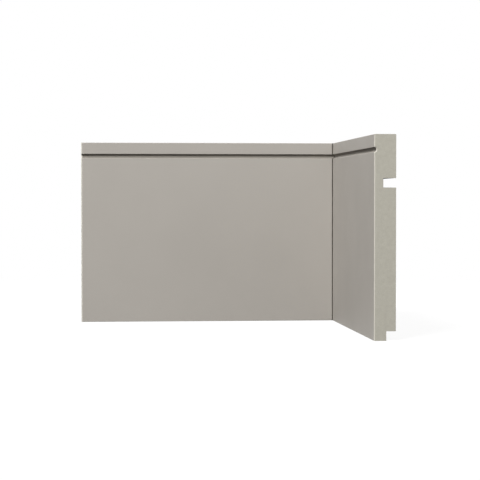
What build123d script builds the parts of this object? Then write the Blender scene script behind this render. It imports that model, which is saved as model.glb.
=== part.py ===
from build123d import *
import math
import os

# An inside corner of skirting board: two lengths of one moulding, mitred and glued together.
# Millimetres, +Z up. The left board runs along X and its face looks to -Y. The return board
# runs along Y and its face looks to -X. The origin is on the floor, under the middle of the
# pair's box.

# Section of the moulding
board_height = 150.0
board_thickness = 16.0
long_edge_radius = 0.3
inner_corner_radius = 0.4

# Ornamental groove along the face: round at the bottom, with rounded lips
groove_below_top = 11.2
groove_height = 4.0
groove_depth = 1.6
groove_lip_radius = 0.3

# Slot in the back for the fixing clips
slot_below_top = 31.9
slot_height = 6.8
slot_depth = 9.4

# Cable rebate at the foot of the back
rebate_height = 7.0
rebate_depth = 7.0

# Length of each face, from the cut end to the inside corner
left_run = 212.0
return_run = 212.0

# Rounding of the face's arris at the cut end
cut_end_radius = 0.8

# Relief at the front of the mitre: how far it opens along each face, and how deep it runs
joint_opening = 0.65
joint_depth = 3.0

# How near to the cut end an edge has to be to lie on it
tolerance = 0.001

# The inside corner, where the two faces meet, as seen from the origin
corner_x = (left_run - board_thickness) / 2
corner_y = (return_run - board_thickness) / 2


def at(depth, height):
    """A point of the section: depth is measured back from the face, height up from the foot."""
    return Vector(0, depth, height)


def groove():
    """The groove as three arcs that meet on common tangents: upper lip, bottom and lower lip.

    The two lips have the same radius, and the bottom has what is left of the groove's size.
    """
    middle = board_height - groove_below_top
    half = groove_height / 2
    turn = 2 * math.atan2(groove_depth, half)

    def on_lip(side, angle):
        depth = groove_lip_radius * (1 - math.cos(angle))
        height = half - groove_lip_radius * math.sin(angle)
        return at(depth, middle + side * height)

    return [
        ThreePointArc(on_lip(1, 0), on_lip(1, turn / 2), on_lip(1, turn)),
        ThreePointArc(on_lip(1, turn), at(groove_depth, middle), on_lip(-1, turn)),
        ThreePointArc(on_lip(-1, turn), on_lip(-1, turn / 2), on_lip(-1, 0)),
    ]


def section():
    """The moulding's section: from the groove down the face, round the back and over the top.

    Its two front corners are left sharp here, and moulding() rounds them.
    """
    slot_top = board_height - slot_below_top
    slot_floor = slot_top - slot_height
    slot_wall = board_thickness - slot_depth
    rebate_wall = board_thickness - rebate_depth

    corners = [
        (0, 0, 0),
        (rebate_wall, 0, long_edge_radius),
        (rebate_wall, rebate_height, inner_corner_radius),
        (board_thickness, rebate_height, long_edge_radius),
        (board_thickness, slot_floor, long_edge_radius),
        (slot_wall, slot_floor, inner_corner_radius),
        (slot_wall, slot_top, inner_corner_radius),
        (board_thickness, slot_top, long_edge_radius),
        (board_thickness, board_height, long_edge_radius),
        (0, board_height, 0),
    ]
    upper_lip, bottom, lower_lip = groove()
    points = [lower_lip @ 1, *(at(depth, height) for depth, height, radius in corners), upper_lip @ 0]
    outline = FilletPolyline(*points, radius=[radius for depth, height, radius in corners])
    return make_face([upper_lip, bottom, lower_lip, outline])


def cut_end_arris(board, run):
    """The edges that bound the face at the cut end, where it runs no deeper than its groove."""

    def bounds_the_face(edge):
        box = edge.bounding_box()
        return box.max.X < tolerance - run and box.max.Y < groove_depth + tolerance

    return board.edges().filter_by(bounds_the_face)


def drawn(profile, run):
    """The profile drawn out along X, from the cut end to beyond the mitre."""
    return extrude(Pos(-run, 0, 0) * profile, run + board_thickness, dir=(1, 0, 0))


def corner_waste(height, inward):
    """The profile of what rounding takes off the corner between the face and the top or foot."""

    def near(depth, rise):
        return at(long_edge_radius * depth, height + inward * long_edge_radius * rise)

    halfway = 1 - math.cos(math.pi / 4)
    corner = Polyline(near(0, 1), near(0, 0), near(1, 0))
    return make_face([corner, ThreePointArc(near(1, 0), near(halfway, halfway), near(0, 1))])


def moulding(run):
    """A length along X: cut square at X = -run, and mitred where its face meets the corner at X = 0.

    The mitre's face bears on its neighbour's from joint_depth back. In front of that a second
    cut, at a slightly wider angle, relieves it, which leaves the fine open line of the joint.
    The face's arris is rounded at the cut end while its corners are sharp, because a rounding
    would run on along a rounded corner and all the way round the end.
    """
    mitre = Plane(origin=(0, 0, 0), z_dir=(1, -1, 0))
    relief = Plane(origin=(-joint_opening, 0, 0), z_dir=(joint_depth, -joint_depth - joint_opening, 0))
    board = split(drawn(section(), run), bisect_by=mitre, keep=Keep.BOTTOM)
    board = split(board, bisect_by=relief, keep=Keep.BOTTOM)
    board = fillet(cut_end_arris(board, run), cut_end_radius)
    return board - drawn(corner_waste(0, 1), run) - drawn(corner_waste(board_height, -1), run)


def left_board():
    return Pos(corner_x, corner_y, 0) * moulding(left_run)


def return_board():
    """The same moulding with its mitre cut the other way, so it mirrors the left board."""
    across_the_mitre = Plane(origin=(0, 0, 0), z_dir=(1, -1, 0))
    return Pos(corner_x, corner_y, 0) * mirror(moulding(return_run), about=across_the_mitre)


os.makedirs("parts", exist_ok=True)
export_step(left_board(), "parts/left_board.step")
export_step(return_board(), "parts/return_board.step")
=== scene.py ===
"""Looks, light and camera for an inside corner of skirting board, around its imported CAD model."""

import math

import bpy
import numpy as np
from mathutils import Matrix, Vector


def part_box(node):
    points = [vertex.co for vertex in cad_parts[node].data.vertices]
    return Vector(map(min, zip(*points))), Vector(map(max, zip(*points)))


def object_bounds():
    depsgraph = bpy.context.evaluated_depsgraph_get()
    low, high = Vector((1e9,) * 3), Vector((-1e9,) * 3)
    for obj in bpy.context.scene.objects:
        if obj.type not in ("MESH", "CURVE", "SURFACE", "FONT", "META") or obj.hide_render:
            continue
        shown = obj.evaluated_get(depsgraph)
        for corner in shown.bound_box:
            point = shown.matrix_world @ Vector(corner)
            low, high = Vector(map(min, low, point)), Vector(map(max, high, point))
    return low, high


MM = 0.001

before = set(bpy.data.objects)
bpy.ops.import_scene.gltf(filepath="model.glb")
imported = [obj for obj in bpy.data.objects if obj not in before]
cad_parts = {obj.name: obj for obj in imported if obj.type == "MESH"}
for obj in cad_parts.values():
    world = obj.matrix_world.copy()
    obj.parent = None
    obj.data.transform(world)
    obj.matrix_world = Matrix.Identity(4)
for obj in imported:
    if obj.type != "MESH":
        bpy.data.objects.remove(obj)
cad_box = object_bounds()

# The inside corner at the foot, where the two faces meet
left_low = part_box("left_board")[0]
return_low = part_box("return_board")[0]
inside_corner = Vector((return_low.x, left_low.y, left_low.z))

# Colours as they look, in sRGB
SKIN_GREY = "#ADA8A1"
SKIN_GREY_WORN = "#AAA59E"
SAWN_GREY = "#BAB7AB"
SAWN_GREY_CELL = "#AEAA9E"
BACK_GREY = "#AAA69E"
BACK_GREY_LINE = "#A29E96"
# Painted shade: the insides of the groove and of the clip slot are coloured darker than the foam
HOLLOW_SHADE_GREY = "#858078"
HOLLOW_SHADE_GREY_DARK = "#7C7770"
# Painted highlight: the rounded arris of the cut end is coloured paler than the foam
ARRIS_HIGHLIGHT = "#D2CEC4"
ARRIS_HIGHLIGHT_DULL = "#CBC7BC"
# The glue line is coloured darker than glue and dust alone, as painted shade in the open mitre
GLUE_AND_SHADE_DARK = "#57544D"
GLUE_AND_SHADE_LIGHT = "#66635B"
WHITE = "#FFFFFF"
FLOOR_DULL = "#303030"
FLOOR_SEEN = "#656565"

# Solid polystyrene has an IOR of 1.59 and a specular level of 0.5. The pits in the skin of its
# foam scatter more than half of that gloss.
FOAM_IOR = 1.59
FOAM_SPECULAR = 0.19

# Noise stays mostly within this range
NOISE_RANGE = {"From Min": 0.3, "From Max": 0.7}

# The material slots of a board
SKIN, SAWN, BACK, GLUE_AND_SHADE, SHADED_HOLLOW, HIGHLIT_ARRIS = range(6)

# Where a board's finishes change, in millimetres. Depth is measured back from the face, drop down
# from the top, height up from the foot, and run along from the cut end. The groove is 1.6 deep,
# and 4 high about a drop of 11.2, and its lips keep the skin. The slot ends at the back, at 16.
# The arris is rounded 0.8.
OFF_TOP_AND_FOOT = 0.01
BACK_DEPTH = 5.0
GROOVE_DEPTH = (0.22, 2.0)
GROOVE_DROP = (9.0, 14.0)
SLOT_DEPTH = (6.0, 15.6)
SLOT_HEIGHT = 20.0
ARRIS_DEPTH = 2.5
ARRIS_RUN = 0.81

# How far a facet's normal of length 1 reaches along an axis
SQUARE_TO_END = 0.999
NEARLY_SQUARE_TO_END = 0.9
UPRIGHT_AT_MOST = 0.01
MITRED_AT_LEAST = 0.5

# How much the X and the Y of a normal differ in size: nothing on the mitre, more on its relief
MITRE_OFF_AT_MOST = 0.02
RELIEF_OFF_AT_MOST = 0.4


def linear(colour):
    """The linear RGBA of an sRGB hex colour."""
    parts = [int(colour[i : i + 2], 16) / 255 for i in (1, 3, 5)]
    return (*((c / 12.92 if c <= 0.04045 else ((c + 0.055) / 1.055) ** 2.4) for c in parts), 1.0)


def add_node(tree, kind, inputs=None, **settings):
    """Adds a shader node and sets its properties.

    Each named or numbered input gets a value, or a link from another node's output.
    """
    node = tree.nodes.new(kind)
    for name, value in settings.items():
        setattr(node, name, value)
    for name, value in (inputs or {}).items():
        if isinstance(value, bpy.types.NodeSocket):
            tree.links.new(value, node.inputs[name])
        else:
            node.inputs[name].default_value = value
    return node


def new_material(name):
    """A node material with no nodes in it yet."""
    material = bpy.data.materials.new(name)
    material.use_nodes = True
    material.node_tree.nodes.clear()
    return material


def noise(tree, size_mm, detail, length_mm=None, along=0):
    """Noise in blobs of about size_mm, which are drawn out to length_mm along one axis.

    Each of the object's coordinates is divided by the blobs' size in its direction.
    """
    sizes = [size_mm] * 3
    sizes[along] = length_mm or size_mm
    where = add_node(tree, "ShaderNodeTexCoord")
    mapping = add_node(
        tree,
        "ShaderNodeMapping",
        {"Vector": where.outputs["Object"], "Scale": [1 / (size * MM) for size in sizes]},
    )
    pattern = add_node(
        tree,
        "ShaderNodeTexNoise",
        {"Vector": mapping.outputs["Vector"], "Scale": 1.0, "Detail": detail},
    )
    return pattern.outputs["Fac"]


def mottled(tree, pattern, first, second):
    """A colour that goes evenly from first to second over the usual range of noise."""
    share = add_node(tree, "ShaderNodeMapRange", {"Value": pattern} | NOISE_RANGE)
    mix = add_node(
        tree,
        "ShaderNodeMix",
        {0: share.outputs["Result"], 6: linear(first), 7: linear(second)},
        data_type="RGBA",
    )
    return mix.outputs[2]


def finished(material, colour, roughness, *reliefs):
    """Ends a material in the surface of foamed polystyrene.

    A relief is a height pattern, its depth in millimetres and its strength. The first one tilts
    the surface's own normal, and each that follows tilts the normal that the last one left.
    """
    tree = material.node_tree
    normal = {}
    for pattern, depth_mm, strength in reliefs:
        bump = add_node(
            tree,
            "ShaderNodeBump",
            {"Height": pattern, "Distance": depth_mm * MM, "Strength": strength} | normal,
        )
        normal = {"Normal": bump.outputs["Normal"]}
    foam = {"IOR": FOAM_IOR, "Specular IOR Level": FOAM_SPECULAR}
    surface = add_node(
        tree,
        "ShaderNodeBsdfPrincipled",
        {"Base Color": colour, "Roughness": roughness} | foam | normal,
    )
    add_node(tree, "ShaderNodeOutputMaterial", {"Surface": surface.outputs["BSDF"]})
    return material


def with_mitre_line(tree, colour, half_width_mm=0.15):
    """The colour with the hairline of the glued mitre, which lies where X and Y are the same.

    A point is as far from that line as its X and Y differ, divided by the square root of 2. The
    real line is about 0.1 mm wide. It is drawn 0.3 mm wide, so that it still shows.
    """
    where = add_node(tree, "ShaderNodeTexCoord")
    apart = add_node(tree, "ShaderNodeSeparateXYZ", {"Vector": where.outputs["Object"]})
    off = add_node(
        tree,
        "ShaderNodeMath",
        {0: apart.outputs["X"], 1: apart.outputs["Y"]},
        operation="SUBTRACT",
    )
    near = add_node(
        tree,
        "ShaderNodeMath",
        {0: off.outputs["Value"], 1: 0.0, 2: math.sqrt(2) * half_width_mm * MM},
        operation="COMPARE",
    )
    line = add_node(
        tree,
        "ShaderNodeMix",
        {0: near.outputs["Value"], 6: colour, 7: linear(GLUE_AND_SHADE_LIGHT)},
        data_type="RGBA",
    )
    return line.outputs[2]


def moulded_skin(name, along):
    """Satin skin of extruded foamed polystyrene, coloured right through.

    The die leaves it smooth, so it has a soft even sheen. Drag lines run with the extrusion, the
    skin has the slight orange peel of the foam under it, and its tone and gloss drift a little
    over a hand's width. Real drag lines are as fine as a hair. They are drawn 1.2 mm apart, so
    that they still show.
    """
    material = new_material(name)
    tree = material.node_tree
    drift = noise(tree, 60, detail=3.0)
    drag = noise(tree, 1.2, detail=2.0, length_mm=160, along=along)
    peel = noise(tree, 1.6, detail=2.0)
    colour = with_mitre_line(tree, mottled(tree, drift, SKIN_GREY, SKIN_GREY_WORN))
    roughness = add_node(
        tree, "ShaderNodeMapRange", {"Value": drift, "To Min": 0.52, "To Max": 0.60} | NOISE_RANGE
    )
    return finished(
        material, colour, roughness.outputs["Result"], (drag, 0.05, 0.06), (peel, 0.05, 0.10)
    )


def sawn_foam(name):
    """Sawn end of the foamed polystyrene: the same grey, matt, with the speckle of cut cells.

    Real cells are about 0.2 mm across. They are drawn at 0.7 mm, so that they still show. The
    speckle is the mean of the cells and of clumps of them, about 3 mm across.
    """
    material = new_material(name)
    tree = material.node_tree
    cells = noise(tree, 0.7, detail=1.0)
    clumps = noise(tree, 3.0, detail=2.0)
    both = add_node(tree, "ShaderNodeMath", {0: cells, 1: clumps}, operation="ADD")
    mean = add_node(
        tree, "ShaderNodeMath", {0: both.outputs["Value"], 1: 0.5}, operation="MULTIPLY"
    )
    colour = mottled(tree, mean.outputs["Value"], SAWN_GREY, SAWN_GREY_CELL)
    return finished(material, colour, 0.75, (cells, 0.08, 0.3))


def extruded_back(name, along):
    """Back of the moulding, which faces the wall: bare extruded foam, duller than the face.

    Die lines run its length, 1.5 mm apart.
    """
    material = new_material(name)
    tree = material.node_tree
    lines = noise(tree, 1.5, detail=3.0, length_mm=90, along=along)
    drift = noise(tree, 40, detail=2.0)
    colour = mottled(tree, lines, BACK_GREY, BACK_GREY_LINE)
    roughness = add_node(
        tree, "ShaderNodeMapRange", {"Value": drift, "To Min": 0.58, "To Max": 0.70} | NOISE_RANGE
    )
    return finished(material, colour, roughness.outputs["Result"], (lines, 0.10, 0.25))


def shaded_hollow(name, along):
    """Inside of the groove and of the clip slot: foam coloured darker as painted shade, and dead
    matt.
    """
    material = new_material(name)
    tree = material.node_tree
    shade_mottle = noise(tree, 1.5, detail=3.0, length_mm=40, along=along)
    colour = mottled(tree, shade_mottle, HOLLOW_SHADE_GREY, HOLLOW_SHADE_GREY_DARK)
    return finished(material, colour, 0.85, (shade_mottle, 0.05, 0.1))


def highlighted_arris(name):
    """Rounded arris of the cut end, coloured paler as a painted highlight, in a matt finish.

    The pale tone and the surface are mottled in blobs of about 1.2 mm.
    """
    material = new_material(name)
    tree = material.node_tree
    highlight_mottle = noise(tree, 1.2, detail=2.0)
    colour = mottled(tree, highlight_mottle, ARRIS_HIGHLIGHT, ARRIS_HIGHLIGHT_DULL)
    return finished(material, colour, 0.7, (highlight_mottle, 0.05, 0.2))


def glue_and_shade_line(name):
    """Dust and adhesive in the open front of the mitre, coloured darker still as painted shade, so
    they read as a fine dark line.
    """
    material = new_material(name)
    tree = material.node_tree
    streaks = noise(tree, 2.0, detail=2.0, length_mm=9.0, along=2)
    colour = mottled(tree, streaks, GLUE_AND_SHADE_DARK, GLUE_AND_SHADE_LIGHT)
    return finished(material, colour, 0.8, (streaks, 0.05, 0.2))


def within(values, band):
    """Which values lie between the least and the most of a band."""
    least, most = band
    return (values > least) & (values < most)


def finish_board(name, run_axis, depth_axis):
    """Gives a board its finishes, by where each facet lies and which way it looks.

    The skin is on the face, the top and the foot, and whatever no other finish takes. The back
    has its rebate. The groove and the clip slot get painted shade. The arris gets a painted
    highlight, and its last part, which nearly faces the cut end, is taken with the end. The end
    and the mitre are sawn, and the mitre's relief shows the glue line, darkened with painted shade.
    A later finish goes over an earlier one.
    """
    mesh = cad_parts[name].data
    mesh.materials.clear()
    mesh.materials.append(moulded_skin(f"satin_polystyrene_skin_{name}", run_axis))
    mesh.materials.append(sawn_foam(f"sawn_polystyrene_{name}"))
    mesh.materials.append(extruded_back(f"bare_polystyrene_back_{name}", run_axis))
    mesh.materials.append(glue_and_shade_line(f"glue_and_shade_line_{name}"))
    mesh.materials.append(shaded_hollow(f"shaded_hollow_{name}", run_axis))
    mesh.materials.append(highlighted_arris(f"painted_highlight_arris_{name}"))

    count = len(mesh.polygons)
    normals = np.empty(count * 3)
    centres = np.empty(count * 3)
    mesh.polygons.foreach_get("normal", normals)
    mesh.polygons.foreach_get("center", centres)
    normals = normals.reshape(-1, 3)
    centres = centres.reshape(-1, 3)

    low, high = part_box(name)
    run = (centres[:, run_axis] - low[run_axis]) / MM
    depth = (centres[:, depth_axis] - low[depth_axis]) / MM
    height = (centres[:, 2] - low.z) / MM
    drop = (high.z - centres[:, 2]) / MM
    off_top_and_foot = (drop > OFF_TOP_AND_FOOT) & (height > OFF_TOP_AND_FOOT)

    # The run goes from the cut end to the mitre, so the end looks back along it
    towards_end = -normals[:, run_axis]
    at_arris = off_top_and_foot & (run < ARRIS_RUN) & (depth < ARRIS_DEPTH)
    slanted = (np.abs(normals[:, 2]) < UPRIGHT_AT_MOST) & (towards_end < -MITRED_AT_LEAST)
    off_mitre = np.abs(normals[:, 0] + normals[:, 1])
    relief_off = (MITRE_OFF_AT_MOST, RELIEF_OFF_AT_MOST)

    finish = np.full(count, SKIN, np.int32)
    finish[off_top_and_foot & (depth > BACK_DEPTH)] = BACK
    # Painted shade: the inside of the groove and of the clip slot
    finish[within(depth, GROOVE_DEPTH) & within(drop, GROOVE_DROP)] = SHADED_HOLLOW
    finish[off_top_and_foot & within(depth, SLOT_DEPTH) & (height > SLOT_HEIGHT)] = SHADED_HOLLOW
    # Painted highlight on the rounded arris of the cut end
    finish[at_arris] = HIGHLIT_ARRIS
    finish[at_arris & (towards_end > NEARLY_SQUARE_TO_END)] = SAWN
    finish[towards_end > SQUARE_TO_END] = SAWN
    finish[slanted & (off_mitre < MITRE_OFF_AT_MOST)] = SAWN
    # Glue and dust in the mitre's relief, darkened further with painted shade
    finish[slanted & within(off_mitre, relief_off)] = GLUE_AND_SHADE
    mesh.polygons.foreach_set("material_index", finish)
    mesh.update()


def seen_directly(tree):
    """1 for rays from the camera, off gloss or through glass, and 0 for those that carry light."""
    path = add_node(tree, "ShaderNodeLightPath")
    mirrored = add_node(
        tree,
        "ShaderNodeMath",
        {0: path.outputs["Is Glossy Ray"], 1: path.outputs["Is Transmission Ray"]},
        operation="MAXIMUM",
    )
    seen = add_node(
        tree,
        "ShaderNodeMath",
        {0: path.outputs["Is Camera Ray"], 1: mirrored.outputs["Value"]},
        operation="MAXIMUM",
    )
    return seen.outputs["Value"]


def studio_floor(half_width=6.0, lift=0.88, white_from=0.45, white_to=0.90):
    """A plain floor, dull grey to the light that bounces off it.

    To the eye and to mirrors it is lifted to the white of the backdrop. The object's own shadow
    stays on it, out to where the floor turns plain white, between two distances from the middle.
    """
    mesh = bpy.data.meshes.new("floor")
    corners = [(x * half_width, y * half_width, 0) for x, y in ((-1, -1), (1, -1), (1, 1), (-1, 1))]
    mesh.from_pydata(corners, [], [(0, 1, 2, 3)])
    floor = bpy.data.objects.new("floor", mesh)
    bpy.context.scene.collection.objects.link(floor)

    material = new_material("pale_studio_floor")
    tree = material.node_tree
    dull = add_node(tree, "ShaderNodeBsdfDiffuse", {"Color": linear(FLOOR_DULL)})
    paint = add_node(tree, "ShaderNodeBsdfDiffuse", {"Color": linear(FLOOR_SEEN)})
    glow = add_node(tree, "ShaderNodeEmission", {"Color": linear(WHITE), "Strength": lift})
    near = add_node(
        tree, "ShaderNodeAddShader", {0: paint.outputs["BSDF"], 1: glow.outputs["Emission"]}
    )
    far = add_node(tree, "ShaderNodeEmission", {"Color": linear(WHITE), "Strength": 1.0})

    where = add_node(tree, "ShaderNodeTexCoord")
    away = add_node(tree, "ShaderNodeVectorMath", {0: where.outputs["Object"]}, operation="LENGTH")
    fade = add_node(
        tree,
        "ShaderNodeMapRange",
        {"Value": away.outputs["Value"], "From Min": white_from, "From Max": white_to},
        interpolation_type="SMOOTHSTEP",
    )
    seen = add_node(
        tree,
        "ShaderNodeMixShader",
        {0: fade.outputs["Result"], 1: near.outputs["Shader"], 2: far.outputs["Emission"]},
    )
    both = add_node(
        tree,
        "ShaderNodeMixShader",
        {0: seen_directly(tree), 1: dull.outputs["BSDF"], 2: seen.outputs["Shader"]},
    )
    add_node(tree, "ShaderNodeOutputMaterial", {"Surface": both.outputs["Shader"]})
    mesh.materials.append(material)


def backdrop(light):
    """Soft even light from all round, which looks pure white where it is seen directly."""
    world = bpy.data.worlds.new("studio")
    world.use_nodes = True
    tree = world.node_tree
    tree.nodes.clear()
    bpy.context.scene.world = world
    ambient = add_node(tree, "ShaderNodeBackground", {"Color": linear(WHITE), "Strength": light})
    white = add_node(tree, "ShaderNodeBackground", {"Color": linear(WHITE), "Strength": 1.0})
    mix = add_node(
        tree,
        "ShaderNodeMixShader",
        {0: seen_directly(tree), 1: ambient.outputs["Background"], 2: white.outputs["Background"]},
    )
    add_node(tree, "ShaderNodeOutputWorld", {"Surface": mix.outputs["Shader"]})


def softbox(name, left_of_front, up, distance, side, level):
    """A square softbox that faces the object, from an angle left of the front and an angle up.

    A white surface that looks straight at it takes level from it, where 1 is white. A lamp of
    power P gives such a surface a radiance of P / (pi distance)^2.
    """
    turn = math.radians(left_of_front)
    tip = math.radians(up)
    front = -math.cos(turn) * math.cos(tip)
    towards = Vector((-math.sin(turn) * math.cos(tip), front, math.sin(tip)))
    middle = (cad_box[0] + cad_box[1]) / 2
    data = bpy.data.lights.new(name, "AREA")
    data.shape = "SQUARE"
    data.size = side
    data.energy = level * (math.pi * distance) ** 2
    lamp = bpy.data.objects.new(name, data)
    lamp.location = middle + towards * distance
    lamp.rotation_euler = towards.to_track_quat("Z", "Y").to_euler()
    bpy.context.scene.collection.objects.link(lamp)


def add_camera():
    """The photograph's view: nearly square on to the left board, far off, with a long lens."""
    from_corner = Vector((-206.3, -1440.2, 103.5)) * MM
    turn_right = math.radians(5.059)
    tip_down = math.radians(1.394)
    data = bpy.data.cameras.new("camera")
    data.sensor_width = 36.0
    data.lens = 128.65
    data.clip_start = 0.05
    data.clip_end = 20.0
    camera = bpy.data.objects.new("camera", data)
    camera.location = inside_corner + from_corner
    camera.rotation_euler = (math.radians(90) - tip_down, 0, -turn_right)
    bpy.context.scene.collection.objects.link(camera)
    bpy.context.scene.camera = camera


finish_board("left_board", run_axis=0, depth_axis=1)
finish_board("return_board", run_axis=1, depth_axis=0)

studio_floor()
backdrop(light=0.38)
softbox("key", left_of_front=35, up=46, distance=3.0, side=1.0, level=1.25)
softbox("fill", left_of_front=-20, up=30, distance=3.0, side=1.8, level=0.06)
softbox("behind", left_of_front=-135, up=20, distance=3.0, side=1.8, level=0.80)
add_camera()

bpy.context.scene.view_settings.view_transform = "Standard"
